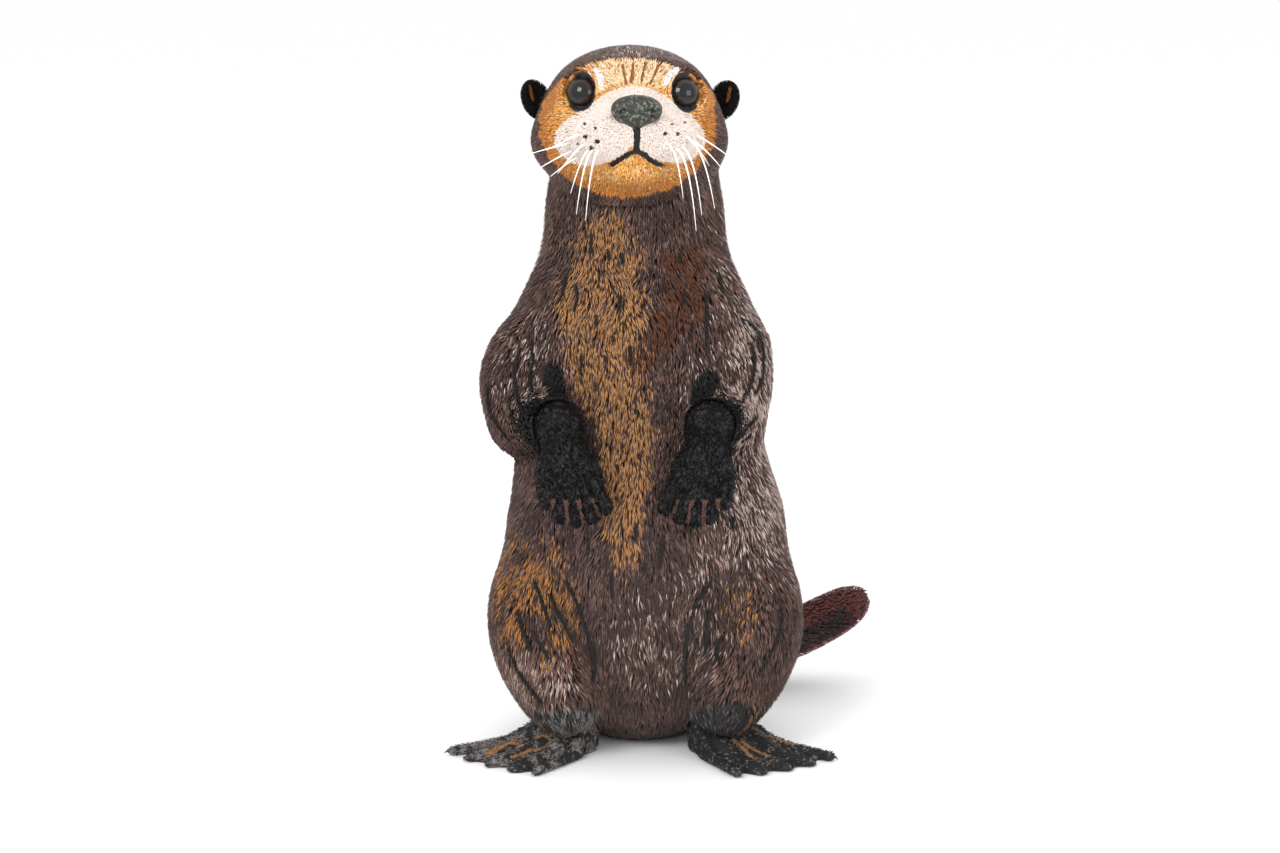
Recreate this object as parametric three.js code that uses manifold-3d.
// A sea otter sitting upright on its haunches, forepaws hanging over the belly, hind flippers
// splayed on the floor and the short tail curled out past one hip. It is life size, in millimetres,
// with +Z up and the animal facing -Y. The origin is on the floor, under the middle of the trunk.
// Its left side is +X.
//
// Every fleshy form starts as a field: a function that is negative inside the form. A field is a
// soft blend of a few ellipsoids and tapered limbs, and it includes the depth of the coat.
// wrap() walks out from a spine to where the field changes sign, which gives a closed mesh.

import * as THREE from "three";
import { mergeVertices } from "three/addons/utils/BufferGeometryUtils.js";
import Module from "manifold-3d";

const wasm = await Module();
wasm.setup();

// ---------------------------------------------------------------- driving dimensions

const GAP = 0.3; // between neighbouring pieces
const HEAD_SCALE = 1.06; // the head's own measures, below, are for a head 190 mm broad
const HEAD_AT = [-10, -16, 716]; // middle of the skull
const HEAD_PITCH = 11; // degrees, muzzle up
const HEAD_YAW = 3; // degrees, muzzle towards the left
const NECK_BASE_Z = 545; // where the neck leaves the shoulders
const SEAT_SINK = 6; // how far the soft rump is pressed flat

const EYE = { x: 50.3, y: -36, z: 15, radius: 18 }; // middle of the ball, in the head's frame
const LID_OPENING = [14, 16, 16.5]; // half its size across, deep and up
const NOSE = { y: -96, z: -7, halfWidth: 24, halfHeight: 17 };
const MOUTH = { y: -97, z: -46, slope: 24 }; // the line drops this many degrees going back
const EAR = { x: 98, y: 16, z: 14, length: 22, width: 17, thick: 9 };

const ARMS = [
  { name: "right", side: -1, shoulder: 113, biceps: 133, elbow: 127, wrist: 88, knuckles: 76 },
  { name: "left", side: 1, shoulder: 98, biceps: 97, elbow: 97, wrist: 76, knuckles: 66 },
];
const SHOULDER_R = 50;
const ELBOW_R = 42;
const WRIST_R = 28;
const FINGERS = 5;

const LEGS = [
  { name: "right", side: -1, hip: 108, heel: 60, turnOut: 50 },
  { name: "left", side: 1, hip: 120, heel: 70, turnOut: 42 },
];
const HEEL_Y = -36;
const FLIPPER = { length: 146, heelWidth: 62, toeWidth: 132, ankle: 54, sole: 9, toes: 5 };
const CLAW = { length: 11, radius: 2.6 };

const TAIL_HALF_WIDTH = 40;
const TAIL_HALF_THICK = 18;

// ---------------------------------------------------------------- finishes

const finish = (color, roughness) => new THREE.MeshStandardMaterial({ color, roughness, metalness: 0 });
const DARK_COAT = finish(0x4a3632, 0.9);
const RUSSET_COAT = finish(0x56302c, 0.9);
const PALE_COAT = finish(0xd9a25e, 0.9);
const CREAM_COAT = finish(0xf3e2d2, 0.9);
const EAR_COAT = finish(0x1d1817, 0.8);
const PAW = finish(0x1b1a1d, 0.75);
const WEB = finish(0x35353a, 0.7);
const NOSE_SKIN = finish(0x23241f, 0.45);
const EYE_GLOSS = finish(0x120d0b, 0.08);

// ---------------------------------------------------------------- fields

const point = (x, y, z) => new THREE.Vector3(x, y, z);
const degrees = THREE.MathUtils.degToRad;

/** An ellipsoid about centre, with its own radii along x, y and z. */
function ellipsoid(centre, radii) {
  const middle = point(...centre);
  const size = point(...radii);
  return (p) => {
    const q = p.clone().sub(middle).divide(size);
    const near = q.length();
    const steep = q.divide(size).length();
    return steep === 0 ? -Math.min(...radii) : (near * (near - 1)) / steep;
  };
}

/** A limb that tapers from radius ra at a to radius rb at b. */
function limb(a, b, ra, rb) {
  const start = point(...a);
  const axis = point(...b).sub(start);
  return (p) => {
    const along = p.clone().sub(start).dot(axis) / axis.lengthSq();
    const share = THREE.MathUtils.clamp(along, 0, 1);
    const nearest = start.clone().addScaledVector(axis, share);
    return p.distanceTo(nearest) - THREE.MathUtils.lerp(ra, rb, share);
  };
}

/** The union of fields, with their creases filled over a width of softness. */
function blend(softness, ...fields) {
  const join = (a, b) => {
    const near = Math.max(softness - Math.abs(a - b), 0) / softness;
    return Math.min(a, b) - (near * near * softness) / 4;
  };
  return (p) => fields.map((field) => field(p)).reduce(join);
}

const grown = (field, by) => (p) => field(p) - by;
const bothSides = (make) => [make(-1), make(1)];

// ---------------------------------------------------------------- meshes and solids

/** Closed mesh of a field round a spine: rays fan out at both ends and slide along between them. */
function wrap(field, spine, { sides, rings, cap, reach, reference = [1, 0, 0] }) {
  const curve = new THREE.CatmullRomCurve3(spine.map((p) => point(...p)));
  const fixed = point(...reference);
  const surface = (origin, direction) => {
    let [inside, outside] = [0, reach];
    for (let step = 0; step < 22; step++) {
      const middle = (inside + outside) / 2;
      if (field(origin.clone().addScaledVector(direction, middle)) < 0) inside = middle;
      else outside = middle;
    }
    return origin.clone().addScaledVector(direction, inside);
  };
  const last = 2 * cap + rings - 1;
  const ringAt = (index) => {
    const share = THREE.MathUtils.clamp((index - cap) / (rings - 1), 0, 1);
    const early = Math.max(cap - index, 0);
    const late = Math.max(index - cap - rings + 1, 0);
    const tilt = ((late - early) / (cap + 1)) * (Math.PI / 2);
    return { origin: curve.getPointAt(share), tangent: curve.getTangentAt(share), tilt };
  };

  const start = ringAt(0);
  const end = ringAt(last);
  const vertices = [surface(start.origin, start.tangent.clone().negate())];
  for (let index = 0; index <= last; index++) {
    const { origin, tangent, tilt } = ringAt(index);
    const across = fixed.clone().addScaledVector(tangent, -fixed.dot(tangent)).normalize();
    const up = tangent.clone().cross(across);
    for (let side = 0; side < sides; side++) {
      const turn = (side / sides) * 2 * Math.PI;
      const direction = tangent.clone().multiplyScalar(Math.sin(tilt));
      direction.addScaledVector(across, Math.cos(tilt) * Math.cos(turn));
      direction.addScaledVector(up, Math.cos(tilt) * Math.sin(turn));
      vertices.push(surface(origin, direction));
    }
  }
  vertices.push(surface(end.origin, end.tangent));

  const faces = [];
  const at = (ring, side) => 1 + ring * sides + (side % sides);
  for (let side = 0; side < sides; side++) {
    faces.push(0, at(0, side + 1), at(0, side));
    for (let ring = 0; ring < last; ring++) {
      faces.push(at(ring, side), at(ring, side + 1), at(ring + 1, side));
      faces.push(at(ring, side + 1), at(ring + 1, side + 1), at(ring + 1, side));
    }
    faces.push(vertices.length - 1, at(last, side), at(last, side + 1));
  }
  return new THREE.BufferGeometry().setFromPoints(vertices).setIndex(faces);
}

/** A closed three.js geometry as a solid that can be joined and cut. */
function solid(geometry) {
  const bare = geometry.clone();
  bare.deleteAttribute("normal");
  bare.deleteAttribute("uv");
  const merged = mergeVertices(bare, 1e-4);
  return new wasm.Manifold(
    new wasm.Mesh({
      numProp: 3,
      vertProperties: merged.attributes.position.array,
      triVerts: new Uint32Array(merged.index.array),
    }),
  );
}

/** A solid as one named mesh. */
function piece(name, form, material) {
  const made = form.getMesh();
  const geometry = new THREE.BufferGeometry();
  geometry.setAttribute("position", new THREE.BufferAttribute(new Float32Array(made.vertProperties), 3));
  geometry.setIndex(new THREE.BufferAttribute(new Uint32Array(made.triVerts), 1));
  geometry.computeVertexNormals();
  const mesh = new THREE.Mesh(geometry, material);
  mesh.name = name;
  return mesh;
}

/** The part of a solid in front of a plane, which stands back from it by half a gap. */
function keepBeyond(form, through, normal) {
  const facing = point(...normal).normalize();
  return form.trimByPlane(facing.toArray(), facing.dot(point(...through)) + GAP / 2);
}

/** The largest body of a solid, without the slivers that a cut may leave. */
function largest(form) {
  return form.decompose().reduce((a, b) => (a.volume() > b.volume() ? a : b));
}

const onFloor = (form) => form.trimByPlane([0, 0, 1], 0);
const opposite = (normal) => normal.map((n) => -n);

// ---------------------------------------------------------------- the head, in its own frame

const HEAD_TURN = new THREE.Euler(-degrees(HEAD_PITCH), 0, degrees(HEAD_YAW));
const headFrame = new THREE.Matrix4().compose(
  point(...HEAD_AT),
  new THREE.Quaternion().setFromEuler(HEAD_TURN),
  point(HEAD_SCALE, HEAD_SCALE, HEAD_SCALE),
);
const toHeadFrame = headFrame.clone().invert();

const skull = blend(
  26,
  ellipsoid([0, 16, 9], [88, 82, 62]), // crown
  ...bothSides((s) => ellipsoid([s * 53 - 1.5, -3, -29], [50, 54, 46])), // jowls, the right one fuller
  ellipsoid([0, -8, -44], [60, 56, 34]), // throat
);
const snout = blend(
  12,
  ellipsoid([0, -56, -27], [47, 37, 34]),
  limb([0, -34, 22], [0, -80, -7], 25, 18), // bridge
  ...bothSides((s) => ellipsoid([s * 29, -68, -34], [33, 28, 25])), // whisker pads
  ellipsoid([0, -58, -63], [29, 28, 20]), // chin
);
const brows = blend(10, ...bothSides((s) => limb([s * 28, -44, 41], [s * 58, -33, 39], 12, 11)));
const faceField = blend(14, skull, snout, brows);
const headInBody = (p) => faceField(p.clone().applyMatrix4(toHeadFrame)) * HEAD_SCALE;

// ---------------------------------------------------------------- trunk and neck

const torsoField = blend(
  46,
  ellipsoid([0, 26, 100], [138, 130, 106 + SEAT_SINK]), // rump
  ellipsoid([7, -12, 234], [160, 136, 165]), // belly
  ellipsoid([-5, 6, 375], [138, 118, 140]), // chest
  ellipsoid([-6, 16, 474], [136, 102, 104]), // shoulders
  ellipsoid([-6, 20, 590], [102, 84, 130]), // neck
);
const bodyField = blend(34, torsoField, headInBody);

const TORSO_SPINE = [
  [0, 14, 90],
  [0, -2, 220],
  [-3, 8, 380],
  [-4, 16, 500],
  [-4, 18, 610],
];
const NECK_SPINE = [
  [-4, 16, 500],
  [-4, 18, 600],
  [-4, 8, 690],
];
const NECK_PLANE = { through: [0, 16, NECK_BASE_Z], normal: [0, -0.1, 1] };
const HEAD_PLANE = { through: [0, 10, 668], normal: [0, -0.26, 1] };
const TORSO_MESH = { sides: 24, rings: 11, cap: 3, reach: 260 };

function trunk(grow = 0) {
  const whole = solid(wrap(grown(torsoField, grow), TORSO_SPINE, TORSO_MESH));
  return onFloor(keepBeyond(whole, NECK_PLANE.through, opposite(NECK_PLANE.normal)));
}

function neck() {
  const column = wrap(bodyField, NECK_SPINE, { sides: 24, rings: 6, cap: 2, reach: 150 });
  const above = keepBeyond(solid(column), NECK_PLANE.through, NECK_PLANE.normal);
  return keepBeyond(above, HEAD_PLANE.through, opposite(HEAD_PLANE.normal));
}

// ---------------------------------------------------------------- face

function ball(radius, at, stretch = [1, 1, 1], sides = 12, rings = 8) {
  const geometry = new THREE.SphereGeometry(radius, sides, rings);
  geometry.rotateX(Math.PI / 2);
  return solid(geometry.scale(...stretch).translate(...at));
}

const eye = (side, grow = 0) => ball(EYE.radius + grow, [side * EYE.x, EYE.y, EYE.z]);
/** The opening between the lids, in front of an eye. */
const lidOpening = (side) => ball(1, [side * (EYE.x + 4), EYE.y - 18, EYE.z + 1], LID_OPENING, 12, 6);

const noseField = blend(
  9,
  ellipsoid([0, 0, 3], [NOSE.halfWidth, 11, NOSE.halfHeight - 4]),
  ...bothSides((s) => ellipsoid([s * 13, 1, -2], [10, 9, 9])), // wings of the nostrils
  ellipsoid([0, 0, -9], [10, 9, 10]), // foot of the nose, above the lip
);

function nose(grow = 0) {
  const spine = [
    [0, -1, -4],
    [0, -1, 5],
  ];
  const form = wrap(grown(noseField, grow), spine, { sides: 14, rings: 2, cap: 2, reach: 40 });
  return solid(form.translate(0, NOSE.y, NOSE.z));
}

/** A cupped ear, standing out from the side of the head. */
function ear(side) {
  const turn = new THREE.Euler(degrees(-12), side * degrees(14), -side * degrees(26));
  const shell = new THREE.SphereGeometry(1, 10, 7).scale(EAR.width, EAR.thick, EAR.length);
  const hollow = new THREE.SphereGeometry(1, 8, 5).scale(EAR.width - 6, EAR.thick - 0.5, EAR.length - 7);
  const leaf = solid(shell).subtract(solid(hollow.translate(side * 1, -EAR.thick + 0.5, 2)));
  const turned = new THREE.Matrix4().makeRotationFromEuler(turn);
  turned.premultiply(new THREE.Matrix4().makeTranslation(side * EAR.x, EAR.y, EAR.z));
  return leaf.transform(turned.toArray());
}

const toHead = ({ through, normal }) => {
  const there = point(...through).applyMatrix4(toHeadFrame);
  return { through: there.toArray(), normal: point(...normal).transformDirection(toHeadFrame).toArray() };
};

function makeHead() {
  const group = new THREE.Group();
  group.position.set(...HEAD_AT);
  group.rotation.copy(HEAD_TURN);
  group.scale.setScalar(HEAD_SCALE);

  // The spine runs forward, so that the mesh is finest round the nose.
  const spine = [
    [0, 26, 2],
    [0, -20, -2],
    [0, -60, -14],
  ];
  const shape = { sides: 24, rings: 6, cap: 5, reach: 130 };
  const inHead = (p) => bodyField(p.clone().applyMatrix4(headFrame)) / HEAD_SCALE;
  const cut = toHead(HEAD_PLANE);
  const whole = (grow) => solid(wrap(grown(inHead, grow), spine, shape));

  const eyes = bothSides((s) => eye(s));
  const noseForm = nose();
  const skin = bothSides((s) => eye(s, GAP).add(lidOpening(s))).reduce(
    (form, socket) => form.subtract(socket),
    keepBeyond(whole(0), cut.through, cut.normal).subtract(nose(GAP)),
  );

  // The pale face is parted from the dark cap by a plane that leans forward at the crown.
  const mask = { through: [0, -34, 34], normal: [0, -0.86, -0.5] };
  const cap = keepBeyond(skin, mask.through, opposite(mask.normal));
  const face = keepBeyond(skin, mask.through, mask.normal);

  // Muzzle and lower jaw are parted from the face by an oval, and from each other by the mouth.
  const oval = (grow) => ball(1, [0, -80, -34], [64 + grow, 44 + grow, 40 + grow], 14, 9);
  const mouth = { through: [0, MOUTH.y, MOUTH.z] };
  mouth.normal = [0, Math.sin(degrees(MOUTH.slope)), Math.cos(degrees(MOUTH.slope))];
  const jawOval = (grow) => {
    const whole = ball(1, [0, -73, -62], [38 + grow, 40 + grow, 30 + grow], 14, 8);
    const lip = point(...mouth.normal).negate();
    return whole.trimByPlane(lip.toArray(), lip.dot(point(...mouth.through)) - grow);
  };

  group.add(
    piece("head", largest(cap), DARK_COAT),
    piece("face", largest(face.subtract(oval(GAP)).subtract(jawOval(GAP))), PALE_COAT),
    piece("muzzle", largest(face.intersect(oval(0)).subtract(jawOval(GAP))), CREAM_COAT),
    piece("lower_jaw", largest(face.intersect(jawOval(0))), PALE_COAT),
    piece("nose", noseForm, NOSE_SKIN),
  );
  ["right", "left"].forEach((name, index) => {
    const outside = ear(index * 2 - 1).subtract(whole(GAP));
    group.add(piece(`eye_${name}`, eyes[index], EYE_GLOSS));
    group.add(piece(`ear_${name}`, largest(outside), EAR_COAT));
  });
  return group;
}

// ---------------------------------------------------------------- forelegs

/** A claw as a short cone with its base at root, pointing along a direction. */
function claw(root, direction, { length, radius }) {
  const cone = new THREE.ConeGeometry(radius, length, 5).translate(0, length / 2, 0);
  const turn = new THREE.Quaternion().setFromUnitVectors(point(0, 1, 0), direction.clone().normalize());
  return solid(cone.applyQuaternion(turn).translate(...root.toArray()));
}

/** One tapered stretch of a leg as a solid. */
function stretch(a, b, ra, rb, shape, grow = 0) {
  return solid(wrap(grown(limb(a, b, ra, rb), grow), [a, b], { reach: 2 * Math.max(ra, rb), ...shape }));
}

function makeArm({ name, side, shoulder, biceps, elbow, wrist, knuckles }, body) {
  const group = new THREE.Group();
  const top = [side * shoulder, 4, 448];
  const bend = [side * elbow, -26, 372];
  const hand = [side * wrist, -124, 388];
  const knuckle = [side * knuckles, -140, 322];
  const upperField = blend(
    24,
    limb(top, bend, SHOULDER_R, ELBOW_R),
    ellipsoid([side * biceps, -6, 412], [48, 54, 60]),
    torsoField,
  );
  const limbShape = { sides: 16, rings: 3, cap: 4, reference: [0, 0.3, 1] };
  const upper = (grow) => solid(wrap(grown(upperField, grow), [top, bend], { ...limbShape, reach: 74 }));
  const fore = (grow) => stretch(bend, hand, ELBOW_R - 3, WRIST_R, { ...limbShape, sides: 14, cap: 3 }, grow);
  const palmField = blend(
    14,
    limb(hand, knuckle, WRIST_R, 18),
    ellipsoid([side * (knuckles + 2), -137, 334], [37, 18, 34]),
  );
  const palmSpine = [
    [hand[0], hand[1], hand[2] - 6],
    [knuckle[0], knuckle[1], knuckle[2] + 4],
  ];

  // Five short digits fan from the knuckles, the outer one shortest, each ending in a claw.
  let paw = solid(wrap(palmField, palmSpine, { sides: 12, rings: 3, cap: 2, reach: 50 }));
  for (let finger = 0; finger < FINGERS; finger++) {
    const spread = finger - (FINGERS - 1) / 2;
    const outer = side * spread;
    const root = [knuckle[0] + outer * 13, knuckle[1] - 1, knuckle[2] + 2 + Math.abs(spread)];
    const reach = 37 - 3 * spread * spread - (spread > 1 ? 6 : 0);
    const tip = [root[0] + outer * 3.4 - side * 6, root[1] - 6, root[2] - reach];
    paw = paw.add(stretch(root, tip, 11, 8, { sides: 6, rings: 2, cap: 1, reference: [0, 1, 0] }));
    const way = point(...tip).sub(point(...root));
    const base = point(...tip).addScaledVector(way, 4.5 / way.length());
    paw = paw.add(claw(base, way, CLAW));
  }
  group.add(
    piece(`upper_arm_${name}`, largest(upper(0).subtract(body)), DARK_COAT),
    piece(`forearm_${name}`, largest(fore(0).subtract(upper(GAP)).subtract(body)), DARK_COAT),
    piece(`forepaw_${name}`, largest(paw.subtract(fore(GAP)).subtract(body)), PAW),
  );
  return group;
}

// ---------------------------------------------------------------- hind legs

/** A webbed hind foot, flat on the floor: a fan of toes that spreads from beyond the heel. */
function flipper({ side, heel, turnOut }, grow = 0) {
  const { length, heelWidth, toeWidth, ankle, sole, toes } = FLIPPER;
  const behind = (length * heelWidth) / (toeWidth - heelWidth); // from the fan's centre to the heel
  const halfFan = Math.atan(toeWidth / 2 / (behind + length));
  const [steps, columns] = [4, 16];
  const heading = (share) => degrees(turnOut) + (2 * share - 1) * halfFan;
  const centre = [
    side * (heel - behind * Math.sin(degrees(turnOut))),
    HEEL_Y + behind * Math.cos(degrees(turnOut)),
  ];
  const row = (share, along) => {
    const edge = Math.abs(2 * share - 1);
    const rounded = Math.sqrt(Math.max(1 - edge ** 4, 0));
    const ridge = Math.cos((share * (toes - 1)) * 2 * Math.PI); // 1 on a toe, -1 between two
    const first = behind + heelWidth * 0.45 * (1 - rounded) - grow;
    const reach = behind + length * (0.86 + 0.2 * share) + 4.5 * ridge + grow;
    const distance = THREE.MathUtils.lerp(first, reach, along);
    const drop = THREE.MathUtils.smoothstep(along, 0, 0.75);
    const crown = THREE.MathUtils.lerp(ankle, sole, drop) * (0.35 + 0.65 * rounded);
    const tip = 1 - 0.35 * THREE.MathUtils.smoothstep(along, 0.8, 1);
    const heelRound = 0.6 + 0.4 * THREE.MathUtils.smoothstep(along, 0, 0.12);
    const height = crown * tip * heelRound + 1.6 * ridge * drop + grow;
    const turn = heading(share);
    return [centre[0] + side * distance * Math.sin(turn), centre[1] - distance * Math.cos(turn), height];
  };

  const vertices = [];
  for (const level of [0, 1]) {
    for (let step = 0; step <= steps; step++) {
      for (let column = 0; column <= columns; column++) {
        const [x, y, height] = row(column / columns, step / steps);
        vertices.push(point(x, y, level * height));
      }
    }
  }
  const wide = columns + 1;
  const top = wide * (steps + 1);
  const faces = [];
  const quad = (a, b, c, d) => faces.push(a, b, c, a, c, d);
  for (let step = 0; step < steps; step++) {
    for (let column = 0; column < columns; column++) {
      const at = step * wide + column;
      quad(at, at + 1, at + wide + 1, at + wide);
      quad(top + at, top + at + wide, top + at + wide + 1, top + at + 1);
    }
  }
  const wall = (a, b) => quad(a, top + a, top + b, b);
  for (let column = 0; column < columns; column++) {
    wall(column, column + 1);
    wall(steps * wide + column + 1, steps * wide + column);
  }
  for (let step = 0; step < steps; step++) {
    wall((step + 1) * wide, step * wide);
    wall(step * wide + columns, (step + 1) * wide + columns);
  }
  if (side < 0) faces.reverse();
  let foot = solid(new THREE.BufferGeometry().setFromPoints(vertices).setIndex(faces));
  for (let toe = 0; toe < toes; toe++) {
    const share = toe / (toes - 1);
    const [x, y, height] = row(THREE.MathUtils.lerp(0.03, 0.97, share), 0.985);
    const way = point(side * Math.sin(heading(share)), -Math.cos(heading(share)), -0.1);
    foot = foot.add(claw(point(x, y, Math.max(height * 0.6, 3.2)), way, CLAW));
  }
  return onFloor(foot);
}

function makeLeg(leg, body) {
  const group = new THREE.Group();
  const { name, side, hip } = leg;
  const thighField = blend(
    30,
    ellipsoid([side * hip, -26, 145], [66, 100, 102]),
    ellipsoid([side * (hip - 24), -62, 80], [52, 76, 62]), // knee and shank, folded over the foot
  );
  const spine = [
    [side * (hip - 8), -48, 84],
    [side * hip, -34, 150],
  ];
  const shape = { sides: 16, rings: 3, cap: 4, reach: 180 };
  const thigh = onFloor(solid(wrap(thighField, spine, shape)));
  const foot = flipper(leg);
  group.add(
    piece(`thigh_${name}`, largest(thigh.subtract(body).subtract(flipper(leg, GAP))), DARK_COAT),
    piece(`hind_foot_${name}`, largest(foot.subtract(body)), WEB),
  );
  return group;
}

// ---------------------------------------------------------------- tail

/** A short flat tail that lies on the floor at its root, then twists and lifts towards its tip. */
function tail(body) {
  const path = new THREE.CatmullRomCurve3(
    [
      [2, 74, 62],
      [44, 142, 38],
      [112, 186, 38],
      [190, 208, 60],
      [276, 222, 103],
    ].map((p) => point(...p)),
  );
  const [sides, rings] = [14, 13];
  const vertices = [path.getPointAt(0)];
  for (let ring = 1; ring < rings; ring++) {
    const share = (1 - Math.cos((ring / rings) * Math.PI)) / 2; // closest together at both ends
    const forward = path.getTangentAt(share);
    const level = point(0, 0, 1).cross(forward).normalize();
    const up = forward.clone().cross(level);
    const twist = degrees(-62) * THREE.MathUtils.smoothstep(share, 0.15, 0.75);
    const round = Math.sqrt(1 - Math.abs(2 * share - 1) ** 9);
    const taper = 1 - 0.08 * share ** 3;
    for (let side = 0; side < sides; side++) {
      const turn = (side / sides) * 2 * Math.PI;
      const wide = TAIL_HALF_WIDTH * round * taper * Math.cos(turn);
      const thick = TAIL_HALF_THICK * round * taper * Math.sin(turn);
      const here = path.getPointAt(share);
      here.addScaledVector(level, wide * Math.cos(twist) - thick * Math.sin(twist));
      here.addScaledVector(up, wide * Math.sin(twist) + thick * Math.cos(twist));
      vertices.push(here);
    }
  }
  vertices.push(path.getPointAt(1));
  const faces = [];
  const at = (ring, side) => 1 + ring * sides + (side % sides);
  for (let side = 0; side < sides; side++) {
    faces.push(0, at(0, side + 1), at(0, side));
    for (let ring = 0; ring < rings - 2; ring++) {
      faces.push(at(ring, side), at(ring, side + 1), at(ring + 1, side));
      faces.push(at(ring, side + 1), at(ring + 1, side + 1), at(ring + 1, side));
    }
    faces.push(vertices.length - 1, at(rings - 2, side), at(rings - 2, side + 1));
  }
  const form = solid(new THREE.BufferGeometry().setFromPoints(vertices).setIndex(faces));
  return largest(onFloor(form).subtract(body));
}

// ---------------------------------------------------------------- the whole animal

const otter = new THREE.Group();
const around = trunk(GAP);
otter.add(makeHead(), piece("neck", neck(), DARK_COAT), piece("trunk", trunk(), DARK_COAT));
ARMS.forEach((arm) => otter.add(makeArm(arm, around)));
LEGS.forEach((leg) => otter.add(makeLeg(leg, around)));
otter.add(piece("tail", tail(around), RUSSET_COAT));

export default otter;
